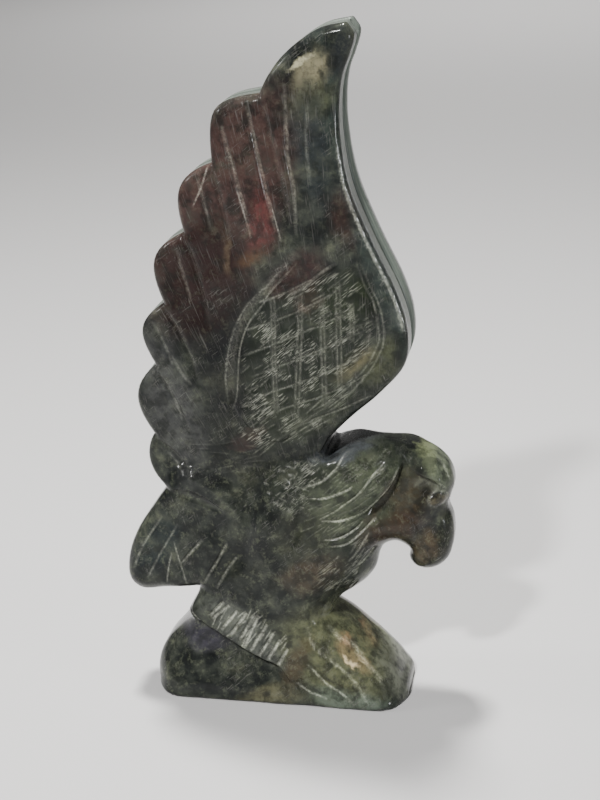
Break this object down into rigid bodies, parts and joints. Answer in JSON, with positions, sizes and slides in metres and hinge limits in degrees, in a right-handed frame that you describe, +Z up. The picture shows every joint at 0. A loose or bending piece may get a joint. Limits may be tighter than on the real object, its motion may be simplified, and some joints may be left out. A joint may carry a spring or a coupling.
{
  "type": "carved stone eagle",
  "caption": "Flat jasper carving of an eagle on a low rock, wings held up and back, head bowed; stands on its flat underside as an ornament.",
  "frame": {"origin": "middle of the flat underside of the rock", "axes": "+Z up, +X the way the bird looks, +Y through the stone from its front face to its back face"},
  "size_m": [0.0891, 0.0336, 0.18],
  "materials": {
    "jasper": "polished mottled green, brown and maroon jasper, with pale matte wheel cuts"
  },
  "bodies": {
    "root": {"eagle_on_rock": "jasper"}
  },
  "joints": []
}
